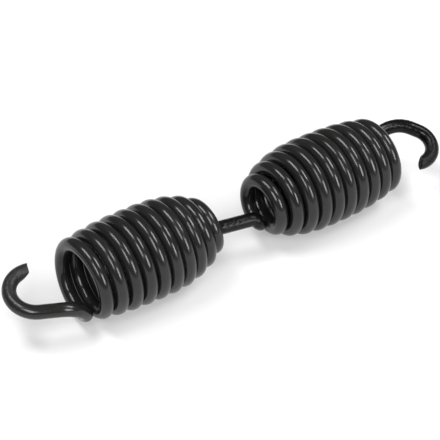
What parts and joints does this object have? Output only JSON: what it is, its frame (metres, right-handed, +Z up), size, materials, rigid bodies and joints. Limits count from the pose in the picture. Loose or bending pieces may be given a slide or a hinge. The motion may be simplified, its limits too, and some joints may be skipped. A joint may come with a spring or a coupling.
{
  "type": "brake shoe spring",
  "caption": "Brake shoe return spring of round black wire: two barrel-shaped close-wound coils joined by a short straight shank, with an open hook at each end.",
  "frame": {"origin": "on the surface that the spring lies on, under the middle of its length and of its coils", "axes": "+X along the spring from the left hook to the right hook, +Z up, -Y the side on which the left hook's leg lies"},
  "size_m": [0.1036, 0.02, 0.0201],
  "materials": {
    "wire": "glossy black over drawn spring wire"
  },
  "bodies": {
    "root": {"spring_wire": "wire"}
  },
  "joints": []
}
